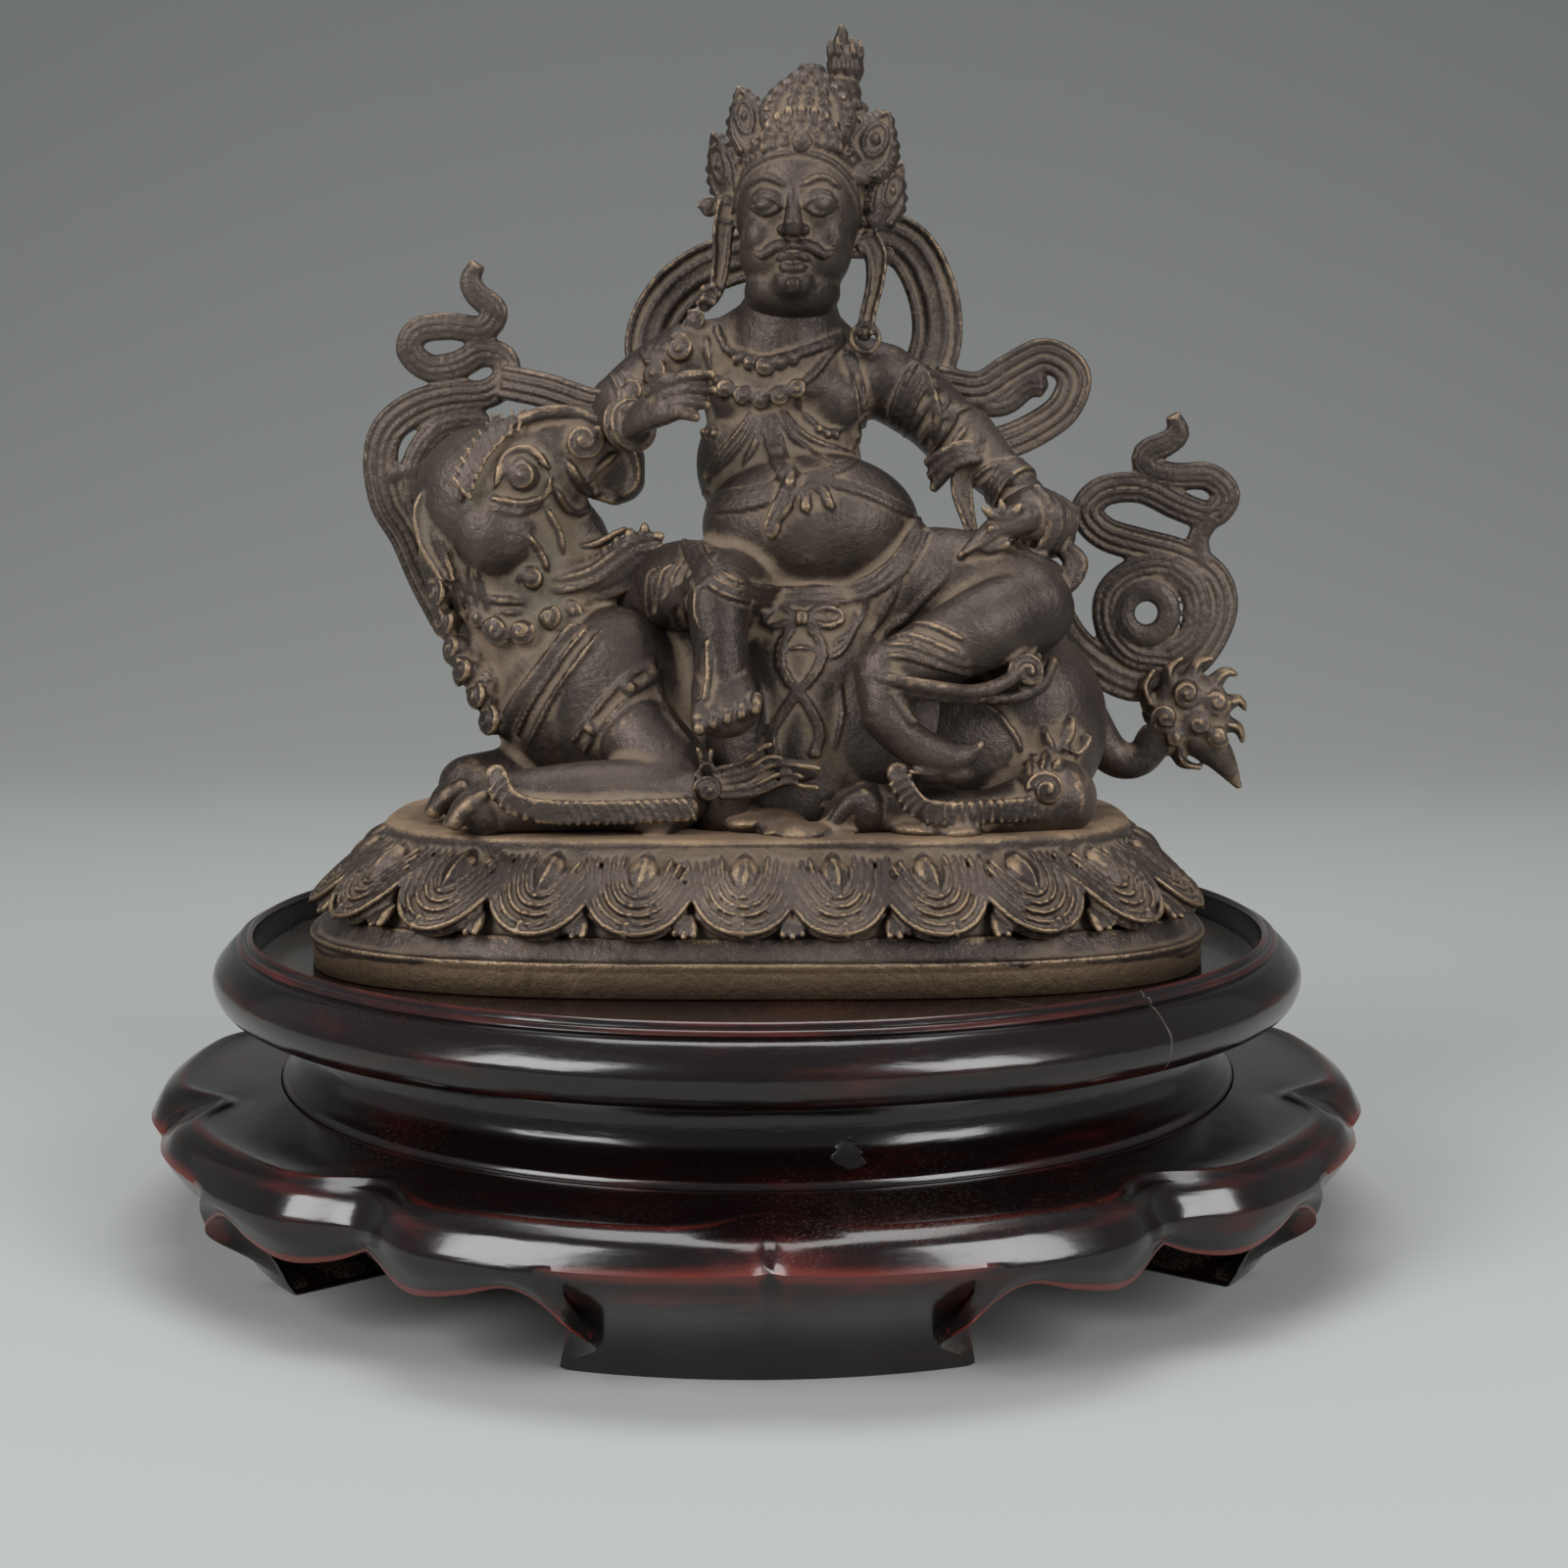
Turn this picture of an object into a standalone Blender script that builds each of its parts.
import math

import bmesh
import bpy
from mathutils import Euler, Matrix, Vector

# Sizes in metres
FIGURE_HEIGHT = 0.1663  # from the bronze platform to the finial's tip
BASE_HALF_WIDTH = 0.093
BASE_HALF_DEPTH = 0.057
PLATFORM_HALF_WIDTH = 0.077
PLATFORM_HALF_DEPTH = 0.045
PLINTH_HEIGHT = 0.0062
PETAL_FOOT_HEIGHT = 0.0125
PETAL_HEAD_HEIGHT = 0.0220
PLATFORM_HEIGHT = 0.0272
PETAL_COUNT = 24
PETAL_SHIFT = 0.82  # of a petal's width, along the outline
OUTLINE_POWER = 3.0  # how boxy the bronze base is, where 2 is an ellipse

REST_GAP = 0.0003  # between pieces that touch
TRAY_MARGIN = 0.0126  # free floor around the bronze
TRAY_LIP_WIDTH = 0.0031
TRAY_ROLL_WIDTH = 0.0053  # how far the rolled rim stands out past the lip
TRAY_FLOOR_HEIGHT = 0.0540
TRAY_LIP_RISE = 0.0070
TRAY_RIM_DEPTH = 0.0150
TRAY_ROLL_DROP = 0.0090  # from the rim's top down to where the roll is widest
TRAY_BOARD = 0.0080
WAIST_INSET = 0.0080  # from the lip's outer edge in to the waist's foot
WAIST_WALL = 0.0120
WAIST_HOLLOW = 0.0060  # how far the waist's curve draws in

FRAME_TOP = 0.0300
FRAME_REBATE = 0.0020
FRAME_SEAT = 0.0100  # width of the ledge that carries the waist
SHOULDER_WIDTH = 0.0205
LOBE_BULGE = 0.0062
LOBE_DROP = 0.0065  # from the frame's top down to where the lobes are widest
APRON_BOTTOM = 0.0150
APRON_INSET = 0.0022  # from the lobe's bulge back to the apron's lower edge
NOTCH_RISE = 0.0035  # of the lower edge between two legs
FOOT_INSET = 0.0172  # from the lobe's bulge back to the foot
FOOT_THICKNESS = 0.0190
FOOT_HALF_ANGLE = math.radians(18.3)
NECK_HALF_ANGLE = math.radians(14.2)
LEG_COUNT = 5
FIRST_LEG_ANGLE = math.radians(1.5)  # from the front towards +X
SHOULDER_DIP = 0.0080
CREASE_DEPTH = 0.0018
NOTCH_DEPTH = 0.0065

# Sizes worked out from those above
FIGURE_SHARES = 166.3  # the figure's points are in shares of its height
SHARE = FIGURE_HEIGHT / FIGURE_SHARES
LIP_RADIUS = BASE_HALF_WIDTH + TRAY_MARGIN
BEAD_RADIUS = LIP_RADIUS + TRAY_LIP_WIDTH
RIM_RADIUS = BEAD_RADIUS + TRAY_ROLL_WIDTH
RIM_TOP = TRAY_FLOOR_HEIGHT + TRAY_LIP_RISE
RIM_BOTTOM = RIM_TOP - TRAY_RIM_DEPTH
WAIST_RADIUS = BEAD_RADIUS - WAIST_INSET
WAIST_BOTTOM = FRAME_TOP - FRAME_REBATE + REST_GAP
STATUE_BOTTOM = TRAY_FLOOR_HEIGHT + REST_GAP
SEAT_RADIUS = WAIST_RADIUS + REST_GAP
SHOULDER_RADIUS = WAIST_RADIUS + SHOULDER_WIDTH
LOBE_RADIUS = SHOULDER_RADIUS + LOBE_BULGE
APRON_RADIUS = LOBE_RADIUS - APRON_INSET
FOOT_RADIUS = LOBE_RADIUS - FOOT_INSET

# Fineness of the sculpted bronze, in shares
CLAY_STEP = 1.0
BRONZE_TRIANGLES = 6200


def clear_scene():
    for thing in list(bpy.data.objects):
        bpy.data.objects.remove(thing, do_unlink=True)


def make_collection(name):
    collection = bpy.data.collections.new(name)
    bpy.context.scene.collection.children.link(collection)
    return collection


def make_material(name, colour, roughness, metallic):
    material = bpy.data.materials.new(name)
    material.use_nodes = True
    shader = material.node_tree.nodes["Principled BSDF"]
    shader.inputs["Base Color"].default_value = (*colour, 1)
    shader.inputs["Roughness"].default_value = roughness
    shader.inputs["Metallic"].default_value = metallic
    return material


def make_node(name, mesh, material, collection):
    node = bpy.data.objects.new(name, mesh)
    mesh.materials.clear()
    mesh.materials.append(material)
    collection.objects.link(node)
    return node


def take_modified(thing):
    graph = bpy.context.evaluated_depsgraph_get()
    return bpy.data.meshes.new_from_object(thing.evaluated_get(graph))


# Clay tools: closed shapes that are pressed together later

def place_of(centre, size=(1, 1, 1), turn=(0, 0, 0)):
    spin = Euler([math.radians(angle) for angle in turn]).to_matrix().to_4x4()
    return Matrix.Translation(centre) @ spin @ Matrix.Diagonal((*size, 1))


def ball(clay, centre, size, turn=(0, 0, 0), fineness=3):
    place = place_of(centre, size, turn)
    bmesh.ops.create_icosphere(clay, subdivisions=fineness, radius=1, matrix=place)


def smooth_path(points, step):
    # A Catmull-Rom line through points that hold x, y, z and a half width
    path = []
    points = [Vector(point) for point in points]
    ends = [2 * points[0] - points[1], *points, 2 * points[-1] - points[-2]]
    for before, start, end, after in zip(ends, ends[1:], ends[2:], ends[3:]):
        count = max(1, round((end - start).xyz.length / step))
        for index in range(count):
            t = index / count
            bend = 2 * before - 5 * start + 4 * end - after
            twist = 3 * start - before - 3 * end + after
            path.append((2 * start + (end - before) * t + bend * t * t + twist * t ** 3) / 2)
    path.append(points[-1])
    return path


def tube(clay, points, flat=1.0, face=(0, -1, 0), sides=10, step=2.5, dome=0.8):
    # A rounded bar along the points; flat is its thickness along face as a share of its width
    path = smooth_path(points, step)
    face = Vector(face)
    stations = []
    for index, point in enumerate(path):
        before = path[max(0, index - 1)].xyz
        after = path[min(len(path) - 1, index + 1)].xyz
        stations.append((point.xyz, (after - before).normalized(), point[3]))
    start, end = stations[0], stations[-1]
    for reach, share in ((0.6, 0.8), (0.95, 0.35)):
        stations.insert(0, (start[0] - start[1] * start[2] * reach * dome, start[1], start[2] * share))
        stations.append((end[0] + end[1] * end[2] * reach * dome, end[1], end[2] * share))
    places = []
    for centre, along, half in stations:
        side = along.cross(face).normalized()
        lift = side.cross(along)
        turn = Matrix((side, lift, along)).transposed().to_4x4()
        places.append(Matrix.Translation(centre) @ turn @ Matrix.Diagonal((half, half * flat, 1, 1)))
    bar = bmesh.new()
    bmesh.ops.create_circle(bar, cap_ends=True, segments=sides, radius=1, matrix=places[0])
    edges = bar.edges[:]
    for last, place in zip(places, places[1:]):
        made = bmesh.ops.extrude_edge_only(bar, edges=edges)["geom"]
        verts = [item for item in made if isinstance(item, bmesh.types.BMVert)]
        edges = [item for item in made if isinstance(item, bmesh.types.BMEdge)]
        bmesh.ops.transform(bar, matrix=place @ last.inverted(), verts=verts)
    bmesh.ops.contextual_create(bar, geom=edges)
    bmesh.ops.recalc_face_normals(bar, faces=bar.faces)
    add_shape(clay, bar)


def add_shape(clay, shape):
    mesh = bpy.data.meshes.new("shape")
    shape.to_mesh(mesh)
    shape.free()
    clay.from_mesh(mesh)
    bpy.data.meshes.remove(mesh)


def leaf(clay, root, tip, width, thick, face):
    # A pointed crown leaf with a round boss at its middle
    root = Vector(root)
    tip = Vector(tip)
    shape = ((0.0, 0.7), (0.3, 1.0), (0.6, 0.85), (0.85, 0.45), (1.0, 0.15))
    points = [(*root.lerp(tip, along), width * share) for along, share in shape]
    tube(clay, points, flat=thick / width, face=face)
    middle = root.lerp(tip, 0.4) + Vector(face) * thick
    ball(clay, middle, (width * 0.4, width * 0.3, width * 0.5), fineness=2)


def curls(clay, path, count, size, depth):
    # Round locks of hair set along a line
    line = smooth_path(path, 1.0)
    for index in range(count):
        spot = line[round(index * (len(line) - 1) / max(1, count - 1))]
        ball(clay, spot.xyz, (size, depth, size), fineness=2)


def ribbon(clay, points, width, thick=1.5, face=(0, -1, 0)):
    tube(clay, [(*point, width) for point in points], flat=thick / width, face=face, sides=8, step=2.0)


# The bronze, in shares of the figure's height above its platform

def model_torso(clay):
    ball(clay, (6, 2, 88), (17.5, 11.5, 14))
    tube(clay, [(-13, 2, 97, 8), (6, 2, 97, 9), (24, 2, 93, 8)], flat=0.95)
    ball(clay, (6, 1, 74), (14, 11.5, 14))
    ball(clay, (11, -8, 62), (22.5, 18.5, 15.5))
    ball(clay, (12, 2, 47), (31, 20, 12))
    ball(clay, (10, -12, 40), (19, 12, 14))
    tube(clay, [(6, 1, 96, 13), (6.4, -1, 103, 11), (7, -3, 109, 10.4), (8, -4, 114, 10)])
    # Belt, sash and necklaces
    belt = [(-12, -10, 61, 2), (-4, -21, 51, 2), (10, -26, 47, 2), (24, -21, 51, 2), (34, -10, 61, 2)]
    tube(clay, belt, flat=0.8)
    tube(clay, [(-11, -8, 67, 1.5), (0, -19, 70, 1.5), (8, -23, 70, 2)], flat=0.8)
    tube(clay, [(8, -23, 70, 2), (22, -19, 70, 1.5), (32, -8, 64, 1.5)], flat=0.8)
    tube(clay, [(4, -8, 86, 1.5), (6, -17, 77, 2), (6, -24, 69, 3), (3, -26, 60, 1.5)], flat=0.7)
    tube(clay, [(-9, -5, 99, 1.2), (-5, -9, 91, 1.2), (4, -10, 87, 1.4), (14, -9, 91, 1.2), (20, -5, 98, 1.2)])
    # Bow and hanging cords
    tube(clay, [(1, -26, 44, 1.4), (9, -28, 45, 1.6), (18, -26, 43, 1.4)], flat=0.8)
    tube(clay, [(7, -27, 42, 1.2), (5, -28, 32, 1.4), (9, -27, 22, 1.4), (5, -26, 10, 1.4)], flat=0.8)
    tube(clay, [(11, -27, 42, 1.2), (14, -28, 32, 1.4), (9, -27, 22, 1.4), (13, -26, 10, 1.4)], flat=0.8)


def model_head(clay):
    ball(clay, (8.4, -5, 127), (13.2, 13.5, 16.5))
    ball(clay, (7.8, -7.5, 117), (11.6, 10.5, 9))
    tube(clay, [(7.4, -17.5, 127, 1.6), (7.0, -19.8, 122, 2.3), (7, -18.2, 119.5, 1.4)])
    tube(clay, [(-1, -15, 118, 0.9), (7, -18.6, 118.2, 1.5), (15, -15, 117.6, 0.9)])
    ball(clay, (7.2, -17.5, 114.6), (3.2, 1.8, 1.1), fineness=2)
    ball(clay, (7.2, -15.8, 110.2), (2.6, 2.2, 2.2), fineness=2)
    for eye_x, eye_z in ((2.2, 126.4), (12.6, 126.0)):
        ball(clay, (eye_x, -16.2, eye_z), (2.6, 1.6, 1.5), fineness=2)
        ball(clay, (eye_x, -16.4, eye_z + 3.8), (3.6, 1.6, 0.9), fineness=2)
    # Ears and earrings
    tube(clay, [(-6.5, -1, 128, 2.4), (-6.6, -1, 120, 2.2), (-6.2, -2, 112, 3.0)], flat=0.8)
    tube(clay, [(21.6, 0, 125, 2.6), (23, -1, 115, 2.4), (23, -4, 102, 3.2)], flat=0.8)
    ball(clay, (-9.5, -3, 129), (3, 3, 3), fineness=2)
    # Hair, crown band and topknot
    ball(clay, (10, -2, 137.5), (14.5, 14.5, 7.5), turn=(0, 6, 0))
    tube(clay, [(12, 2, 140, 9), (15, 4, 147, 6.5), (18, 6, 152, 4.2)])
    jewel = [(18.4, 6, 150, 3.4), (18.6, 6, 155, 2), (18.2, 6, 158, 3), (17.6, 6, 162, 1.8), (17.3, 6, 165, 0.9)]
    tube(clay, jewel)
    leaf(clay, (10.6, -14, 138), (11.3, -10, 153), 7.2, 2.2, (0, -1, 0))
    leaf(clay, (0, -9, 138), (-3, -5, 150), 5.4, 2.0, (-0.5, -0.86, 0))
    leaf(clay, (20, -9, 134), (26.5, -5, 145), 5.4, 2.0, (0.5, -0.86, 0))
    leaf(clay, (-5, -1, 132), (-7.8, 1, 142), 4.6, 2.0, (-0.9, -0.44, 0))
    leaf(clay, (24, -1, 127), (29.2, 1, 135), 4.6, 2.0, (0.9, -0.44, 0))


def model_arms(clay):
    tube(clay, [(-14, 1, 97, 8), (-23, 1, 92, 7), (-29, -2, 87, 6.2)])
    tube(clay, [(-29, -2, 88, 6), (-28, -12, 83, 5.4), (-25, -20, 82, 4.4)])
    tube(clay, [(-25, -20, 82, 4), (-19, -27, 86, 4.2), (-11, -32, 88, 3)], flat=0.7)
    curls(clay, [(-15, -6, 102, 1), (-22, -6, 96, 1), (-26, -5, 90, 1)], 3, 4, 3.4)
    tube(clay, [(25, 1, 93, 8), (36, 2, 86, 7.4), (43, 2, 79, 7)])
    tube(clay, [(43, 2, 81, 7), (50, -3, 73, 5.6), (56, -9, 67, 4.8)])
    ball(clay, (58.5, -13, 62.5), (8.2, 7.5, 6.5))
    for turn in range(3):
        spot = Vector((33 + 4.6 * turn, -5 - turn * 0.3, 90 - 4 * turn))
        start = spot + Vector((3, -1, 7))
        middle = spot + Vector((-1, -2.4, 0))
        end = spot + Vector((-5, 1, -5))
        tube(clay, [(*start, 1.2), (*middle, 1.5), (*end, 1.2)])
    # Mongoose with its head down to the left
    tube(clay, [(61, -15, 67, 4), (55, -20, 65, 5.4), (48, -23, 60.5, 3.8), (42, -25, 56.5, 1.4)])
    # Bangle and hanging sleeve
    tube(clay, [(44, -2, 77, 2.4), (43, -5, 69, 2.2), (45, -7, 61, 1.4)], flat=0.7)


def model_legs(clay):
    tube(clay, [(0, -4, 48, 13), (-5, -20, 49, 9.5), (-7.5, -30, 49, 6.8)])
    tube(clay, [(-7.5, -33, 47.5, 6.4), (-7, -36, 38, 5.6), (-6.6, -38, 30, 5.4)])
    tube(clay, [(-6.8, -36, 35, 5.4), (-6.4, -39.6, 30.4, 6.4), (-5.6, -42.6, 25.2, 7.0)], flat=0.6)
    tube(clay, [(-8, -20, 49, 7), (-16, -22, 44, 6), (-20, -22, 38, 3.4)], flat=0.6)
    ball(clay, (24, -15, 20), (22, 15, 16))
    tube(clay, [(18, -6, 47, 13), (38, -13, 50, 12), (55, -19, 47.5, 10)])
    tube(clay, [(56, -21, 46, 9.4), (43, -30, 41, 8.4), (28, -34, 33, 5.8)])
    boot = [(25.5, -34, 33, 6.6), (28, -37, 24, 5.2), (33, -38, 18.5, 5), (39, -39, 16.4, 4)]
    tube(clay, [*boot, (43.5, -40, 17.6, 1.8)])
    tube(clay, [(21, -37, 33, 2), (33, -41, 32, 2.4), (45, -37, 31, 2.4), (56, -30, 35, 3)], flat=0.8)


def model_lion_body(clay):
    spine = [(-40, 2, 30, 21), (-10, 3, 29, 20), (25, 4, 27, 21), (55, 4, 24, 19)]
    tube(clay, spine, flat=1.1, sides=16, step=6)
    ball(clay, (8, 4, 15), (56, 25, 20))
    ball(clay, (-39, -1, 28), (18, 21, 22))
    ball(clay, (55, -8, 21), (18, 18, 21))
    ball(clay, (42, -13, 17), (22, 15.5, 17.5))
    ball(clay, (55, 15, 21), (18, 14, 21))
    ball(clay, (-30, -15, 27), (15, 11, 19))
    ball(clay, (-30, 20, 27), (15, 11, 19))
    tube(clay, [(-43, 0, 34, 18), (-49, -2, 52, 16), (-53, -4, 64, 16)])
    # Front legs lying on the platform, near and far
    tube(clay, [(-24, -22, 18, 9), (-16, -31, 9, 8), (-35, -35, 8, 7), (-50, -36, 7, 6), (-57, -36, 5.5, 5.6)])
    tube(clay, [(-24, 24, 18, 9), (-20, 30, 9, 8), (-45, 24, 8, 7), (-62, 8, 8, 6.6), (-66, 2, 6, 5.6)])
    # Hind feet under the haunches
    for side, foot_y in ((-1, -33), (1, 32)):
        hock = foot_y - side * 6
        tube(clay, [(62, hock, 8, 8), (46, foot_y, 4, 5), (30, foot_y, 4, 4.6), (20, foot_y, 4, 4.6)])
    # Claws
    for paw_x, paw_y in ((-60, -36), (-70, 2), (16, -33), (16, 32)):
        for toe in (-3.4, 0, 3.4):
            ball(clay, (paw_x, paw_y + toe, 3.4), (3.2, 1.9, 2.9), fineness=2)
    tube(clay, [(-26, -24, 42, 2.4), (-40, -20, 30, 2.6), (-53, -12, 19, 2.6)], flat=0.6)


def model_lion_head(clay):
    ball(clay, (-55, -5, 67), (16.5, 16, 16.5))
    ball(clay, (-53, -14, 61), (10.5, 9.5, 10.5))
    tube(clay, [(-48, -6, 72, 13), (-38, -7, 77, 11), (-30, -7, 76, 8.5), (-27, -7, 71, 6)])
    tube(clay, [(-46, -8, 53, 8), (-36, -11, 50.5, 6), (-28, -12, 53.5, 4.6), (-21.5, -12, 57.6, 2.8)])
    tube(clay, [(-46, -3, 66, 9), (-38, -3, 58, 8)])
    # Brow, eye and nose
    tube(clay, [(-60, -16, 72, 3), (-57, -19, 80, 3.4), (-50, -20, 84, 3)])
    ball(clay, (-48, -18, 73), (5, 4.6, 5))
    ball(clay, (-35, -16, 79), (5, 5, 5))
    tube(clay, [(-40, -16, 70, 2.2), (-34, -15, 66.5, 2.2), (-29, -13, 68, 2.2)])
    ball(clay, (-67, -9, 62), (5, 5, 9))
    for tooth in range(4):
        ball(clay, (-36 + tooth * 4.2, -14.5 + tooth * 0.6, 57 + tooth * 1.2), (1.6, 1.6, 2.2), fineness=2)
    # Mane down the neck and under the jaw
    for y in (-12, 0, 12):
        mane = [(-67, y * 0.5, 64, 1), (-67, y * 0.6, 52, 1), (-62, y * 0.8, 37, 1), (-55, y, 25, 1)]
        curls(clay, mane, 8, 4.6, 4.6)
    for y in (-20, 18):
        curls(clay, [(-60, y, 48, 1), (-52, y * 1.15, 42, 1), (-42, y * 1.1, 42, 1)], 4, 4.6, 4.0)


def model_tail(clay):
    tube(clay, [(70, 6, 22, 5), (76, 6, 13, 4.4), (82, 5, 12, 3.8), (87, 4, 18, 3.6)])
    ball(clay, (91, 4, 22), (9.5, 5.5, 9.5))
    tube(clay, [(93, 4, 21, 6), (99, 4, 14, 4), (103, 4, 6.5, 1.2)])
    for angle in range(0, 360, 60):
        spot = (91 + 6.6 * math.cos(math.radians(angle)), -0.5, 23 + 6.6 * math.sin(math.radians(angle)))
        ball(clay, spot, (3, 2.6, 3), fineness=2)
    # Flame lock at the near haunch
    tube(clay, [(60, -24, 12, 3), (66, -21, 22, 2.6), (71, -17, 30, 1.2)])


def model_scarves(clay):
    right = [(65, 2, 44), (70, 5, 35), (78, 6, 30), (88, 6, 32), (96, 6, 38), (98, 6, 47), (93, 6, 54)]
    right += [(83, 6, 58), (73, 6, 61), (70, 6, 66), (77, 6, 71), (87, 6, 68), (94, 6, 65), (99, 6, 68)]
    right += [(96, 6, 73), (88, 6, 72), (82, 6, 73), (83, 6, 77), (87, 6, 80), (88, 6, 84)]
    ribbon(clay, right, 3.2)
    eye = [(92, 6, 37), (84, 6, 34), (76, 6, 38), (75, 6, 46), (80, 6, 51), (87, 6, 50), (90, 6, 44)]
    ribbon(clay, eye, 3.4)
    left = [(-66, 2, 40), (-72, 2, 52), (-77, 2, 61), (-80, 2, 69), (-78, 2, 78), (-72, 2, 85), (-62, 2, 88)]
    left += [(-54, 2, 90), (-54, 2, 95), (-61, 2, 95), (-68, 2, 93), (-74, 2, 96), (-70, 2, 101), (-62, 2, 99)]
    left += [(-56, 2, 101), (-56, 2, 105), (-59, 2, 110), (-60, 2, 114)]
    ribbon(clay, left, 3.2)
    ribbon(clay, [(-74, 2, 58), (-71, 2, 68), (-70, 2, 76), (-63, 2, 82), (-52, 2, 83)], 3.0)
    ribbon(clay, [(-53, 1, 92), (-44, -3, 90), (-35, -6, 87), (-28, -9, 86)], 3.6)
    arch = [(-20, 6, 90), (-23, 10, 100), (-20, 13, 109), (-12, 14, 116), (0, 13, 120), (12, 13, 123)]
    arch += [(23, 14, 124), (32, 14, 121), (37, 13, 112), (38, 10, 102), (35, 5, 92)]
    tube(clay, [(*point, 5.6) for point in arch], flat=0.36, step=2.0)
    loop = [(40, 5, 92), (47, 7, 91), (54, 8, 95), (61, 8, 98), (67, 8, 94), (65, 8, 87), (58, 8, 82)]
    ribbon(clay, [*loop, (50, 6, 79), (43, 4, 78)], 3.4)


def model_stem(clay):
    # Lotus pad and ribbon under the hanging foot
    tube(clay, [(-5, -30, 4, 6), (-5, -35, 12, 4), (-6, -38, 19, 5)])
    ball(clay, (-6, -38, 20), (9, 6, 3))
    tube(clay, [(-3, -36, 10, 1.8), (5, -36, 14, 2.4), (12, -34, 18, 1.2)])


# The lotus base, in shares as well, with its own sizes

def base_outline(angle, half_width, half_depth):
    power = 2 / OUTLINE_POWER
    x = math.copysign(abs(math.cos(angle)) ** power, math.cos(angle))
    y = math.copysign(abs(math.sin(angle)) ** power, math.sin(angle))
    return Vector((half_width * x, half_depth * y, 0))


def base_half_sizes(along):
    # Half width and half depth between the plinth (0) and the platform (1), in shares
    half_width = BASE_HALF_WIDTH + (PLATFORM_HALF_WIDTH - BASE_HALF_WIDTH) * along
    half_depth = BASE_HALF_DEPTH + (PLATFORM_HALF_DEPTH - BASE_HALF_DEPTH) * along
    return half_width / SHARE, half_depth / SHARE


def model_base(clay):
    # The base is in shares below the platform's top, which is at zero
    below = -0.004
    sections = ((0.0, below), (0.0, PLINTH_HEIGHT - 0.0006), (-0.03, PLINTH_HEIGHT), (0.05, PLINTH_HEIGHT + 0.0008),
                (0.22, PETAL_FOOT_HEIGHT), (0.9, PETAL_HEAD_HEIGHT), (1.0, PETAL_HEAD_HEIGHT),
                (1.0, PLATFORM_HEIGHT - 0.0008), (1.06, PLATFORM_HEIGHT))
    steps = 120
    shape = bmesh.new()
    bmesh.ops.create_circle(shape, cap_ends=True, segments=steps, radius=1)
    edges = shape.edges[:]
    half_width, half_depth = base_half_sizes(sections[0][0])
    height = (sections[0][1] - PLATFORM_HEIGHT) / SHARE
    for index, vert in enumerate(shape.verts):
        vert.co = base_outline(2 * math.pi * index / steps, half_width, half_depth)
        vert.co.z = height
    for along, level in sections[1:]:
        made = bmesh.ops.extrude_edge_only(shape, edges=edges)["geom"]
        verts = [item for item in made if isinstance(item, bmesh.types.BMVert)]
        edges = [item for item in made if isinstance(item, bmesh.types.BMEdge)]
        next_width, next_depth = base_half_sizes(along)
        scale = Vector((next_width / half_width, next_depth / half_depth, 1))
        bmesh.ops.scale(shape, vec=scale, verts=verts)
        half_width, half_depth = next_width, next_depth
        for vert in verts:
            vert.co.z = (level - PLATFORM_HEIGHT) / SHARE
    bmesh.ops.contextual_create(shape, geom=edges)
    bmesh.ops.recalc_face_normals(shape, faces=shape.faces)
    add_shape(clay, shape)
    for root, tip in petal_lines():
        along = tip - root
        middle = root.lerp(tip, 0.55)
        tilt = math.degrees(math.atan2(-along.z, Vector((along.x, along.y)).length))
        heading = math.degrees(math.atan2(along.y, along.x))
        width = along.length * 0.56
        ball(clay, middle, (along.length * 0.55, width, 2.2), turn=(0, tilt, heading))
        boss = middle + Vector((0, 0, 1.2))
        ball(clay, boss, (along.length * 0.3, width * 0.4, 2.2), turn=(0, tilt, heading))


def petal_lines():
    # Root and tip of each petal, evenly spaced along the outline
    fine = 720
    half_width, half_depth = base_half_sizes(0.3)
    outline = [base_outline(2 * math.pi * index / fine, half_width, half_depth) for index in range(fine + 1)]
    lengths = [0.0]
    for start, end in zip(outline, outline[1:]):
        lengths.append(lengths[-1] + (end - start).length)
    lines = []
    index = 0
    for petal in range(PETAL_COUNT):
        target = lengths[-1] * (petal + PETAL_SHIFT) / PETAL_COUNT
        while lengths[index] < target:
            index += 1
        angle = 2 * math.pi * index / fine
        root = base_outline(angle, *base_half_sizes(0.95))
        tip = base_outline(angle, *base_half_sizes(0.06))
        root.z = (PETAL_HEAD_HEIGHT - PLATFORM_HEIGHT) / SHARE
        tip.z = (PETAL_FOOT_HEIGHT - PLATFORM_HEIGHT) / SHARE
        lines.append((root, tip))
    return lines


def fire_clay(clay, name):
    # Press the shapes into one closed skin, soften it and thin it out
    mesh = bpy.data.meshes.new(name)
    clay.to_mesh(mesh)
    clay.free()
    thing = bpy.data.objects.new(name, mesh)
    bpy.context.scene.collection.objects.link(thing)
    press = thing.modifiers.new("press", "REMESH")
    press.mode = "VOXEL"
    press.voxel_size = CLAY_STEP
    soften = thing.modifiers.new("soften", "SMOOTH")
    soften.factor = 0.5
    soften.iterations = 2
    skin = take_modified(thing)
    bpy.data.objects.remove(thing)
    keep_largest(skin)
    thing = bpy.data.objects.new(name, skin)
    bpy.context.scene.collection.objects.link(thing)
    thin = thing.modifiers.new("thin", "DECIMATE")
    thin.ratio = BRONZE_TRIANGLES / (2 * len(skin.polygons))
    thinned = take_modified(thing)
    bpy.data.objects.remove(thing)
    return thinned


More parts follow.
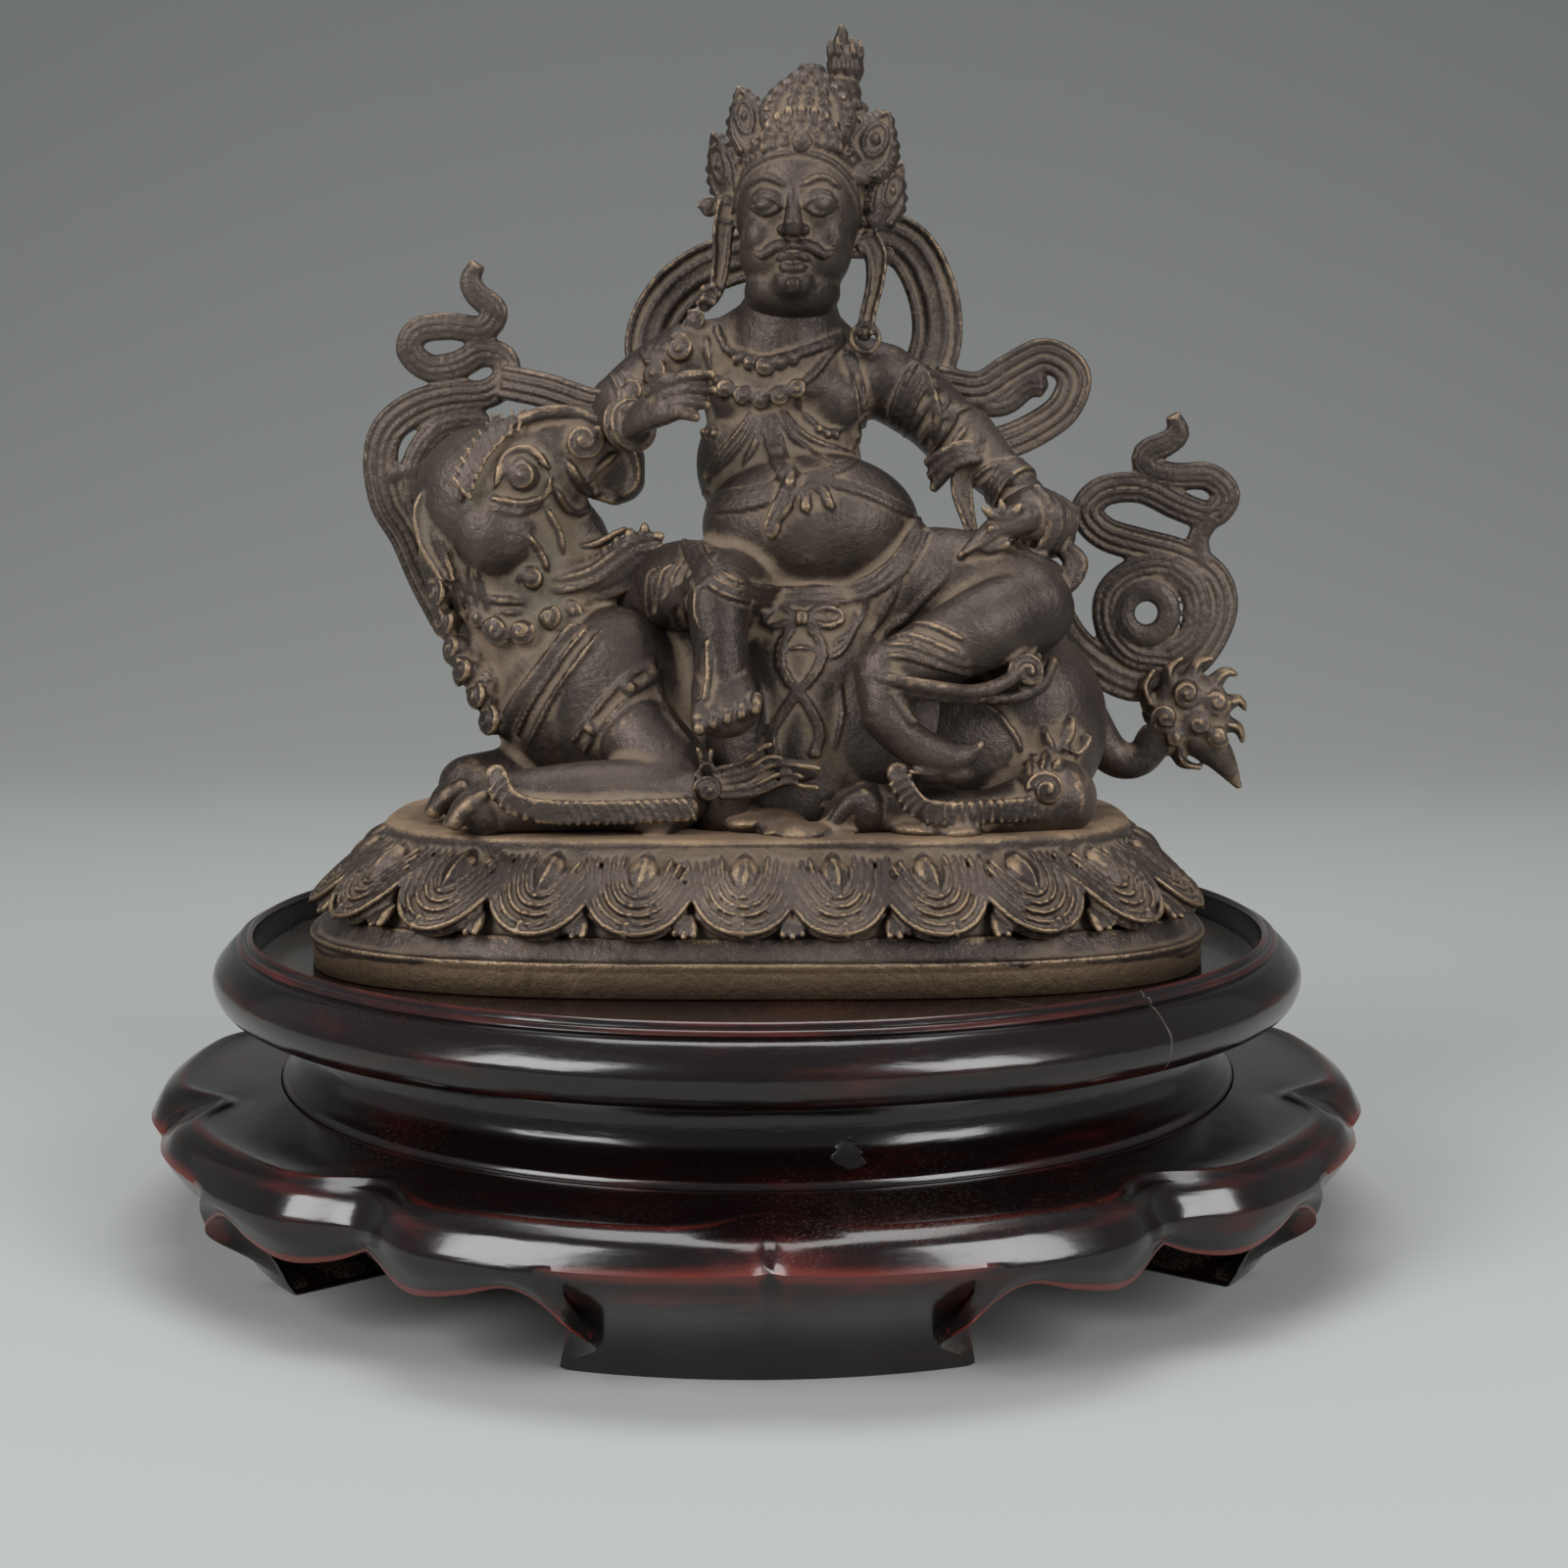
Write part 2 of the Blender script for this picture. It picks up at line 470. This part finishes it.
def keep_largest(mesh):
    # Drop any crumb of clay that hangs free
    skin = bmesh.new()
    skin.from_mesh(mesh)
    skin.verts.ensure_lookup_table()
    seen = set()
    groups = []
    for vert in skin.verts:
        if vert.index in seen:
            continue
        group = []
        queue = [vert]
        seen.add(vert.index)
        while queue:
            here = queue.pop()
            group.append(here)
            for edge in here.link_edges:
                other = edge.other_vert(here)
                if other.index not in seen:
                    seen.add(other.index)
                    queue.append(other)
        groups.append(group)
    groups.sort(key=len)
    for group in groups[:-1]:
        bmesh.ops.delete(skin, geom=group, context="VERTS")
    skin.to_mesh(mesh)
    skin.free()


def mend_pinches(skin):
    # Where two folds of the skin share an edge, take the edge out and close each side again
    for _ in range(6):
        pinched = {vert for edge in skin.edges if not edge.is_manifold for vert in edge.verts}
        pinched.update(vert for vert in skin.verts if not vert.is_manifold)
        if not pinched:
            return
        bmesh.ops.delete(skin, geom=list(pinched), context="VERTS")
        rims = [edge for edge in skin.edges if edge.is_boundary]
        filled = bmesh.ops.holes_fill(skin, edges=rims, sides=0)["faces"]
        bmesh.ops.triangulate(skin, faces=filled)


def make_statue(collection):
    clay = bmesh.new()
    model_torso(clay)
    model_head(clay)
    model_arms(clay)
    model_legs(clay)
    model_lion_body(clay)
    model_lion_head(clay)
    model_tail(clay)
    model_scarves(clay)
    model_stem(clay)
    model_base(clay)
    mesh = fire_clay(clay, "bronze_statue")
    statue = bmesh.new()
    statue.from_mesh(mesh)
    bmesh.ops.triangulate(statue, faces=statue.faces)
    mend_pinches(statue)
    bmesh.ops.scale(statue, vec=(SHARE, SHARE, SHARE), verts=statue.verts)
    bmesh.ops.translate(statue, vec=(0, 0, STATUE_BOTTOM + PLATFORM_HEIGHT), verts=statue.verts)
    everything = statue.verts[:] + statue.edges[:] + statue.faces[:]
    cut = bmesh.ops.bisect_plane(statue, geom=everything, plane_co=(0, 0, STATUE_BOTTOM),
                                 plane_no=(0, 0, 1), clear_inner=True)
    rim = [item for item in cut["geom_cut"] if isinstance(item, bmesh.types.BMEdge)]
    bmesh.ops.contextual_create(statue, geom=rim)
    bmesh.ops.triangulate(statue, faces=statue.faces)
    bmesh.ops.recalc_face_normals(statue, faces=statue.faces)
    statue.to_mesh(mesh)
    statue.free()
    bronze = make_material("patinated bronze", (0.075, 0.058, 0.048), 0.45, 0.8)
    make_node("bronze_statue", mesh, bronze, collection)


# The rosewood stand

def tray_profile():
    floor = TRAY_FLOOR_HEIGHT
    under = floor - TRAY_BOARD
    inner = WAIST_RADIUS - WAIST_WALL
    roll_mid = RIM_TOP - TRAY_ROLL_DROP
    return ((0, floor), (LIP_RADIUS - 0.0012, floor), (LIP_RADIUS, floor + 0.0012),
            (LIP_RADIUS, RIM_TOP - 0.0008), (LIP_RADIUS + 0.0009, RIM_TOP), (BEAD_RADIUS, RIM_TOP - 0.0009),
            (BEAD_RADIUS + 0.0002, RIM_TOP - 0.0026), (RIM_RADIUS - 0.0014, roll_mid + 0.0042),
            (RIM_RADIUS, roll_mid), (RIM_RADIUS - 0.0014, roll_mid - 0.0040),
            (BEAD_RADIUS + 0.0010, RIM_BOTTOM + 0.0004), (BEAD_RADIUS - 0.0060, RIM_BOTTOM),
            (WAIST_RADIUS - WAIST_HOLLOW, RIM_BOTTOM - 0.0020),
            (WAIST_RADIUS - WAIST_HOLLOW * 0.85, WAIST_BOTTOM + 0.0072),
            (WAIST_RADIUS - WAIST_HOLLOW * 0.3, WAIST_BOTTOM + 0.0040), (WAIST_RADIUS, WAIST_BOTTOM + 0.0022),
            (WAIST_RADIUS, WAIST_BOTTOM), (inner, WAIST_BOTTOM), (inner, under), (0, under))


def make_tray(collection):
    profile = bmesh.new()
    verts = [profile.verts.new((radius, 0, height)) for radius, height in tray_profile()]
    for start, end in zip(verts, verts[1:]):
        profile.edges.new((start, end))
    bmesh.ops.spin(profile, geom=profile.verts[:] + profile.edges[:], cent=(0, 0, 0), axis=(0, 0, 1),
                   angle=2 * math.pi, steps=44, use_merge=True)
    bmesh.ops.remove_doubles(profile, verts=profile.verts, dist=0.00005)
    bmesh.ops.recalc_face_normals(profile, faces=profile.faces)
    mesh = bpy.data.meshes.new("stand_tray")
    profile.to_mesh(mesh)
    profile.free()
    lacquer = make_material("tray lacquer", (0.045, 0.008, 0.006), 0.18, 0.0)
    make_node("stand_tray", mesh, lacquer, collection)


def leg_offset(angle):
    # Angle from the nearest leg's middle
    spacing = 2 * math.pi / LEG_COUNT
    turned = (angle - FIRST_LEG_ANGLE) % spacing
    return turned if turned < spacing / 2 else turned - spacing


def dip(offset, width):
    return math.exp(-((offset / width) ** 2))


def lower_edge():
    # Angle from the leg's middle and height, from the foot's middle to the notch between two legs
    foot = math.degrees(FOOT_HALF_ANGLE)
    neck = math.degrees(NECK_HALF_ANGLE)
    last = 180 / LEG_COUNT
    arch = APRON_BOTTOM + 0.0040
    return ((0, 0), (foot / 2, 0), (foot, 0), (foot - 0.6, 0.0020), (neck, 0.0065), (neck + 0.6, 0.0110),
            (neck + 3, APRON_BOTTOM + 0.0015), (foot + 2, arch), (foot + 6, APRON_BOTTOM + 0.0018),
            (last - 7, APRON_BOTTOM), (last - 3, APRON_BOTTOM + 0.0010), (last, APRON_BOTTOM + NOTCH_RISE))


def sector_angles():
    # Where the upper edges stand over each point of the lower edge, in degrees
    last = 180 / LEG_COUNT
    return (0, 7, 14, 15.2, 16.4, 17.6, 18.8, 21, 25, last - 6.6, last - 2.8, last)


def edge_dips(angle):
    # How far the shoulder's edge and the bulge draw in at the creases between lobes
    offset = abs(leg_offset(angle))
    between = math.pi / LEG_COUNT - offset
    crease = dip(offset, math.radians(4.5))
    notch = dip(between, math.radians(5))
    return SHOULDER_DIP * max(crease, notch), CREASE_DEPTH * crease + NOTCH_DEPTH * notch


def frame_sections():
    # Each point's radius and height, and which edge it belongs to
    inner = SEAT_RADIUS - FRAME_SEAT
    return ((SEAT_RADIUS, FRAME_TOP, "seat"), (SHOULDER_RADIUS, FRAME_TOP - 0.0004, "shoulder"),
            (LOBE_RADIUS - 0.0030, FRAME_TOP - 0.0028, "bulge"),
            (LOBE_RADIUS, FRAME_TOP - LOBE_DROP, "bulge"),
            (APRON_RADIUS, APRON_BOTTOM, "front"), (APRON_RADIUS - FOOT_THICKNESS, APRON_BOTTOM, "back"),
            (inner, 0.0190, "seat"), (inner, FRAME_TOP - FRAME_REBATE, "seat"),
            (SEAT_RADIUS, FRAME_TOP - FRAME_REBATE, "seat"))


def frame_point(section, angle, low_angle, low_height):
    radius, height, edge = section
    shoulder_dip, bulge_dip = edge_dips(angle)
    if edge == "shoulder":
        radius -= shoulder_dip
    if edge == "bulge":
        radius -= bulge_dip
    if edge in ("front", "back"):
        angle, height = low_angle, low_height
        rise = min(1.0, height / APRON_BOTTOM)
        rise = rise * rise * (3 - 2 * rise)
        radius = FOOT_RADIUS + (APRON_RADIUS - bulge_dip - FOOT_RADIUS) * rise
    if edge == "back":
        radius -= FOOT_THICKNESS
    return Vector((radius * math.sin(angle), -radius * math.cos(angle), height))


def make_frame(collection):
    half = list(zip(sector_angles(), lower_edge()))
    stops = half[:-1] + [(-high, (-low, height)) for high, (low, height) in half[:0:-1]]
    sections = frame_sections()
    ring = bmesh.new()
    layer = ring.verts.layers.int.new("section")
    verts = [ring.verts.new((0, -radius, height)) for radius, height, _ in sections]
    for index, vert in enumerate(verts):
        vert[layer] = index
    for start, end in zip(verts, verts[1:] + verts[:1]):
        ring.edges.new((start, end))
    steps = LEG_COUNT * len(stops)
    bmesh.ops.spin(ring, geom=ring.verts[:] + ring.edges[:], cent=(0, 0, 0), axis=(0, 0, 1),
                   angle=2 * math.pi, steps=steps, use_merge=True)
    bmesh.ops.remove_doubles(ring, verts=ring.verts, dist=0.00005)
    for vert in ring.verts:
        step = round(math.atan2(vert.co.x, -vert.co.y) * steps / (2 * math.pi)) % steps
        leg, stop = divmod(step, len(stops))
        high, (low, height) = stops[stop]
        middle = FIRST_LEG_ANGLE + 2 * math.pi * (leg + (high < 0)) / LEG_COUNT
        high_angle = middle + math.radians(high)
        low_angle = middle + math.radians(low)
        vert.co = frame_point(sections[vert[layer]], high_angle, low_angle, height)
    bmesh.ops.recalc_face_normals(ring, faces=ring.faces)
    mesh = bpy.data.meshes.new("stand_frame")
    ring.to_mesh(mesh)
    ring.free()
    lacquer = make_material("frame lacquer", (0.035, 0.007, 0.006), 0.15, 0.0)
    make_node("stand_frame", mesh, lacquer, collection)


clear_scene()
parts = make_collection("bronze lion rider on a rosewood stand")
make_statue(parts)
make_tray(parts)
make_frame(parts)
